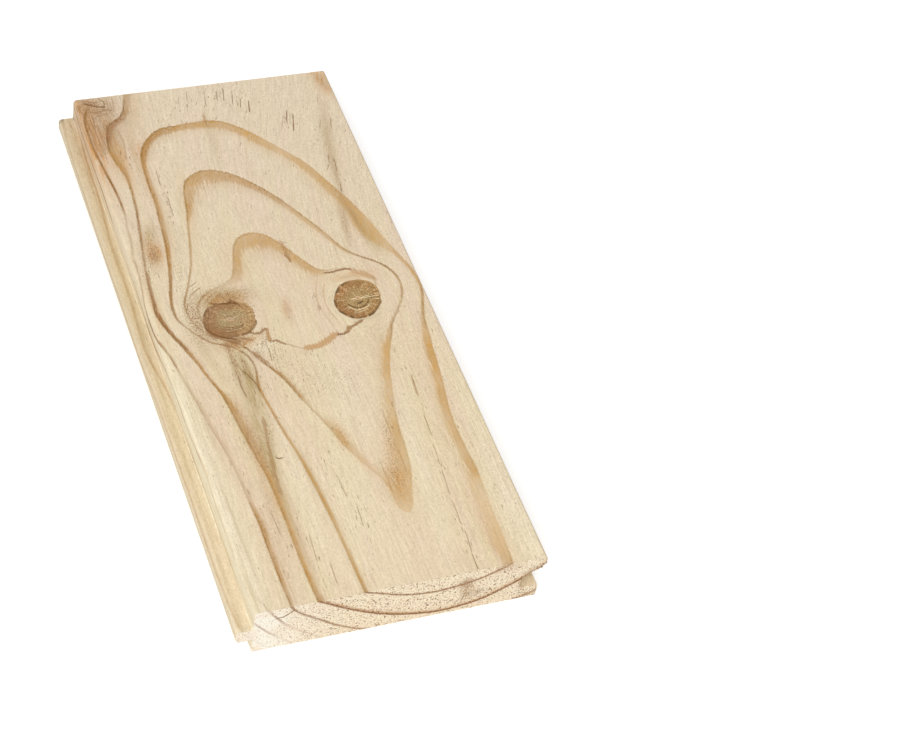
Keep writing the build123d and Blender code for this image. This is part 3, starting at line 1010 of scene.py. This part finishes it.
def knot_wood(finish, place, base, knot, colours, lines):
    """A knot: close rings round a paler heart, a darker rim and drying checks."""
    u, v = knot_directions(finish, place, knot)
    flat = finish.joined(u, v)
    uneven = finish.noise(flat, 1.7, detail=3.0)
    grit = finish.noise(flat, 11.0, detail=3.0, roughness=0.75)
    patch = finish.noise(flat, 3.1)
    square = knot["squareness"]
    reach = (abs(u) ** square + abs(v) ** square) ** (1 / square) + uneven.swing(0.20)
    angle = finish.math("ARCTAN2", v, u)
    rays = finish.noise(finish.joined(angle, reach), (7.0, 2.0, 1.0), detail=3.0, roughness=0.6)
    ring = finish.math("SINE", reach * 58.0 + uneven * 14.0).rise(-0.2, 1.0)

    toward_right = (u + uneven.swing(1.0)).rise(-0.6, 0.75)
    wood = finish.layered(
        finish.blend(toward_right, colours["left"], colours["right"]),
        ((reach + uneven.swing(0.6)).rise(0.78, 0.40) * 0.85, colours["middle"]),
        (reach.rise(0.26, 0.06) * 0.7, colours["heart"]),
        (ring * 0.34, colours["rim"]),
        (rays.rise(0.50, 0.66) * 0.55, colours["dark"]),
        (rays.rise(0.46, 0.34) * 0.40, colours["check"]),
        (patch.rise(0.50, 0.64) * 0.55, colours["patch"]))
    wood = finish.mottled(wood, grit, 2.5)
    diagonal = u + v + uneven.swing(1.0)
    rim = reach.rise(0.84, 0.97) * patch.rise(0.38, 0.54) * diagonal.rise(1.1, -0.1)
    wood = finish.layered(wood, (diagonal.rise(-0.4, -1.3) * 0.45, colours["dark"]),
                          (rim * knot["rim"], colours["rim"]))
    bent_angle, bent_reach = angle + grit.swing(0.16), reach + grit.swing(0.06)
    for turn, width, start, end, tint in lines["checks"]:
        line = knot_line(abs(bent_angle - turn) * reach, width, reach, start, end, 0.08)
        wood = finish.blend(line * 0.9, wood, colours[tint])
    for radius, width, start, end, tint in lines["arcs"]:
        line = knot_line(abs(bent_reach - radius), width, angle, start, end, 0.35)
        wood = finish.blend(line * 0.85, wood, colours[tint])
    edge = reach + grit.swing(knot["fray"])
    return finish.blend(edge.rise(1.02, 0.97), base, wood)


# In the order of KNOTS.
KNOT_COLOURS = [
    {
        "left": colour(170, 130, 92), "right": colour(192, 156, 106), "middle": colour(180, 160, 116),
        "heart": colour(212, 180, 146), "dark": colour(138, 104, 66), "patch": colour(182, 142, 100),
        "rim": colour(116, 80, 46), "check": colour(218, 192, 152),
    },
    {
        "left": colour(184, 136, 86), "right": colour(186, 146, 92), "middle": colour(182, 154, 102),
        "heart": colour(224, 186, 144), "dark": colour(140, 100, 56), "patch": colour(160, 130, 80),
        "rim": colour(94, 64, 32), "check": colour(242, 220, 178),
    },
]
# Checks run out from the heart: turn, half width, start, end and colour.
# Arcs run round it: radius, half width, first and last angle and colour.
KNOT_LINES = [
    {
        "checks": [(2.9, 0.02, 0.1, 0.4, "check"), (0.5, 0.016, 0.12, 0.5, "check")],
        "arcs": [
            (0.56, 0.026, -2.5, -0.5, "rim"), (0.61, 0.026, -2.2, -0.9, "check"),
            (0.20, 0.02, 0.6, 2.6, "rim"),
        ],
    },
    {
        "checks": [
            (0.03, 0.026, 0.04, 0.98, "check"), (-0.16, 0.022, 0.62, 0.98, "check"),
            (-0.07, 0.022, 0.50, 0.98, "rim"), (0.20, 0.018, 0.1, 0.55, "check"),
            (0.11, 0.018, 0.2, 0.80, "rim"), (3.0, 0.03, 0.04, 0.36, "check"),
        ],
        "arcs": [
            (0.56, 0.030, -2.7, -0.5, "check"), (0.47, 0.036, -2.9, -0.1, "rim"),
            (0.26, 0.06, -2.0, -0.5, "rim"), (0.66, 0.02, -2.0, -1.0, "check"),
        ],
    },
]


def planed_pine():
    """The long faces: planed, so that the grain shows as figure with hardly any relief."""
    finish = Shading(bpy.data.materials.new("planed_pine"))
    place, grain = finish.place(), finish.attribute("grain")
    x, y, _ = finish.parts(place)
    years, steepness, along = finish.parts(finish.attribute("growth"))
    share, depth, brown = finish.parts(finish.attribute("latewood"))
    brown_stain_and_shade, olive_stain_and_shade, cream_and_highlight = finish.parts(finish.attribute("stains_and_painted_light"))
    crowd, torn, orange = finish.parts(finish.attribute("streaks"))

    broad = finish.noise(grain, (0.10, 0.012, 0.10), detail=3.0)
    zone = finish.noise(grain, (0.16, 0.008, 0.16), detail=1.0)
    streak = finish.noise(grain, (0.9, 0.035, 0.9), detail=3.0, roughness=0.6)
    fibre = finish.noise(grain, (1.25, 0.08, 1.25), detail=4.0, roughness=0.65)
    micro = finish.noise(grain, (1.6, 0.75, 1.6), detail=3.0, roughness=0.75)
    fleck = finish.noise(grain, (1.3, 0.20, 1.3), roughness=0.6)
    dash = finish.noise(grain, (1.8, 0.24, 1.8), detail=1.0)
    faded = finish.noise(place, 0.045)
    specks = finish.noise(place, (1.5, 0.80, 1.5), roughness=0.7)

    patchy = fibre.rise(0.34, 0.64)
    wood = finish.layered(
        finish.blend(broad.rise(0.36, 0.64), EARLYWOOD_PINK, EARLYWOOD),
        (zone.rise(0.46, 0.62) * 0.5, EARLYWOOD_YELLOW),
        (zone.rise(0.46, 0.32) * 0.5, EARLYWOOD_PINK),
        # Painted light: greyer and paler towards the far end.
        (y.rise(*PAINTED_LIGHT_ALONG) * 0.55, FAR_END_PAINTED_LIGHT),
        (streak.rise(0.50, 0.74) * 0.30, EARLYWOOD_PALE),
        (streak.rise(0.48, 0.28) * 0.22, EARLYWOOD_DEEP),
        # Cream streaks, and the painted highlight on the tongue side.
        (cream_and_highlight, CREAM_AND_HIGHLIGHT),
        (cream_and_highlight * (streak.rise(0.54, 0.34) * 0.40), EARLYWOOD_DEEP),
        # Olive stains, and the painted shade on the tongue.
        (olive_stain_and_shade * (patchy * 0.8 + 0.30), OLIVE_STAIN_AND_SHADE),
        (orange * (patchy * 0.9 + 0.15), ORANGE_STAIN))

    wobble = along * fibre.swing(3.0) + steepness * micro.swing(1.2)
    jitter = fibre.swing(1.9) + micro.swing(1.1)
    bands, ends = year_bands(years + wobble, steepness, share, jitter)
    texture = (fibre.swing(1.2) + micro.swing(2.6) + 0.90) * (faded.swing(1.6) + 0.96)
    ends = ends * depth * (fleck.swing(2.8) + 0.42) * (brown.rise(0.10, 0.35) + 0.20)
    wood = finish.layered(wood, (bands * depth * texture, finish.blend(brown, LATE_GOLD, LATE_BROWN)),
                          (ends, finish.blend(brown, YEAR_LINE_GOLD, YEAR_LINE)))

    rougher_right = x.rise(*ROUGHER_ACROSS) * 0.16 + 0.62
    for spread, strength in ((micro, rougher_right), (fibre, 0.45), (fleck, 0.22)):
        wood = finish.mottled(wood, spread, strength)
    dash = (dash - (crowd * -0.13 + 0.72)).rise(0.0, 0.07)
    speckle = specks.rise(0.52, 0.60) * torn
    wood = finish.layered(wood, (dash * 0.60, RESIN_DARK), (speckle * 0.80, RESIN_DARK))
    for knot, colours, lines in zip(KNOTS, KNOT_COLOURS, KNOT_LINES):
        wood = knot_wood(finish, place, wood, knot, colours, lines)
    # Brown stains; near the groove mouth this brown is painted shadow.
    wood = finish.blend(brown_stain_and_shade * (specks.rise(0.36, 0.60) * 0.7 + 0.40), wood, BROWN_STAIN_AND_SHADE)
    wood = draw_strokes(finish, wood, fleck.swing(2.2))

    height = fibre * 0.4 + micro * 0.8 - dash * 0.4
    return finish.bare_wood(wood, fibre * 0.16 + 0.52, height, PLANED_BUMP, 0.30)


def sawn_end_grain():
    """The ends: cut fibres seen head-on, paler and speckled, with the years as thin arcs."""
    finish = Shading(bpy.data.materials.new("sawn_end_grain"))
    place = finish.place()
    years, steepness, _ = finish.parts(finish.attribute("growth"))
    share, depth, _ = finish.parts(finish.attribute("latewood"))
    smudge_and_shade, _, _ = finish.parts(finish.attribute("stains_and_painted_light"))
    cloud = finish.noise(place, (0.06, 0.06, 0.11), detail=3.0)
    grit = finish.noise(place, 1.35, detail=3.0, roughness=0.75)
    pores = finish.noise(place, 1.2, detail=1.0)
    x, _, _ = finish.parts(place)
    # Painted highlight: the ends are paler on the left, with fewer dark specks and pores there.
    to_right = x.rise(*HIGHLIGHT_ACROSS)

    wobble = steepness * (grit.swing(1.0) + pores.swing(1.0))
    bands, ends = year_bands(years + wobble, steepness, share, grit.swing(1.8))
    hole = pores.rise(0.62, 0.68) * (to_right * 0.60 + 0.40)
    wood = finish.layered(
        finish.blend(to_right, END_PALE_AND_HIGHLIGHT, END_WOOD),
        (cloud.rise(0.42, 0.62) * 0.6, END_PINK),
        (grit.rise(0.54, 0.62) * (to_right * 0.45 + 0.50), END_DEEP),
        (grit.rise(0.50, 0.38) * 0.85, END_PALE_AND_HIGHLIGHT),
        (bands * depth * (grit.swing(1.6) + 0.75), END_BAND),
        (ends * depth * (grit.swing(2.2) + 0.90), END_LATE),
        # Smudges, among them painted shadow at the groove mouth.
        (smudge_and_shade * grit.rise(0.34, 0.54) * 0.8, BROWN_STAIN_AND_SHADE),
        (hole * 0.85, RESIN_DARK))
    wood = draw_strokes(finish, wood, grit.swing(1.6))
    return finish.bare_wood(wood, 0.75, grit - hole * 0.8, SAWN_BUMP, 0.2)


# The floor and the light

FLOOR_SIZE = 4.0
FLOOR_COLOUR = (0.86, 0.86, 0.86, 1.0)
WHITE = (1.0, 1.0, 1.0, 1.0)
FLOOR_GLOW = 0.38
SKY_LIGHT = 0.515
# Soft boxes that look at the board: place and side in metres, and watts.
SOFTBOXES = {
    "key": ((-1.25, -1.75, 2.0), 1.8, 57.0),
    "top": ((0.3, 0.1, 1.8), 1.4, 2.7),
}


def pale_floor():
    """White to the camera, gloss and glass, yet it keeps the board's shadow and gives back light."""
    finish = Shading(bpy.data.materials.new("pale_floor"))
    diffuse = finish.add("ShaderNodeBsdfDiffuse", {"Color": FLOOR_COLOUR})
    camera, glossy, glass = [finish.add("ShaderNodeLightPath", {}, out=f"Is {kind} Ray")
                             for kind in ("Camera", "Glossy", "Transmission")]
    strength = camera.most(glossy).most(glass) * FLOOR_GLOW
    glow = finish.add("ShaderNodeEmission", {"Color": WHITE, "Strength": strength})
    return finish.output(finish.add("ShaderNodeAddShader", {0: diffuse, 1: glow}))


def make_floor():
    bm = bmesh.new()
    bmesh.ops.create_grid(bm, x_segments=1, y_segments=1, size=FLOOR_SIZE)
    mesh = bpy.data.meshes.new("floor")
    bm.to_mesh(mesh)
    bm.free()
    floor = bpy.data.objects.new("floor", mesh)
    bpy.context.scene.collection.objects.link(floor)
    floor.data.materials.append(pale_floor())


def make_world():
    """A white world: the camera sees it whole, and it lights the board less."""
    sky = Shading(bpy.data.worlds.new("studio"))
    seen = sky.add("ShaderNodeLightPath", {}, out="Is Camera Ray")
    strength = sky.add("ShaderNodeMapRange", {"Value": seen, "To Min": SKY_LIGHT, "To Max": 1.0})
    background = sky.add("ShaderNodeBackground", {"Color": WHITE, "Strength": strength})
    bpy.context.scene.world = sky.output(background, "ShaderNodeOutputWorld")


def make_softbox(name, place, side, watts):
    data = bpy.data.lights.new(name, "AREA")
    data.shape = "RECTANGLE"
    data.size = data.size_y = side
    data.energy = watts
    lamp = bpy.data.objects.new(name, data)
    bpy.context.scene.collection.objects.link(lamp)
    lamp.location = place
    lamp.rotation_mode = "QUATERNION"
    lamp.rotation_quaternion = (-Vector(place)).to_track_quat("-Z", "Y")


make_camera()
board = make_board_piece(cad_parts["floorboard"])
draw_figure(board.data)
carve(board.data)
board.data.materials.append(planed_pine())
board.data.materials.append(sawn_end_grain())
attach(board, "root")
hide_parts("floorboard")
make_floor()
make_world()
for box_name, softbox in SOFTBOXES.items():
    make_softbox(box_name, *softbox)
bpy.context.scene.view_settings.view_transform = "Standard"
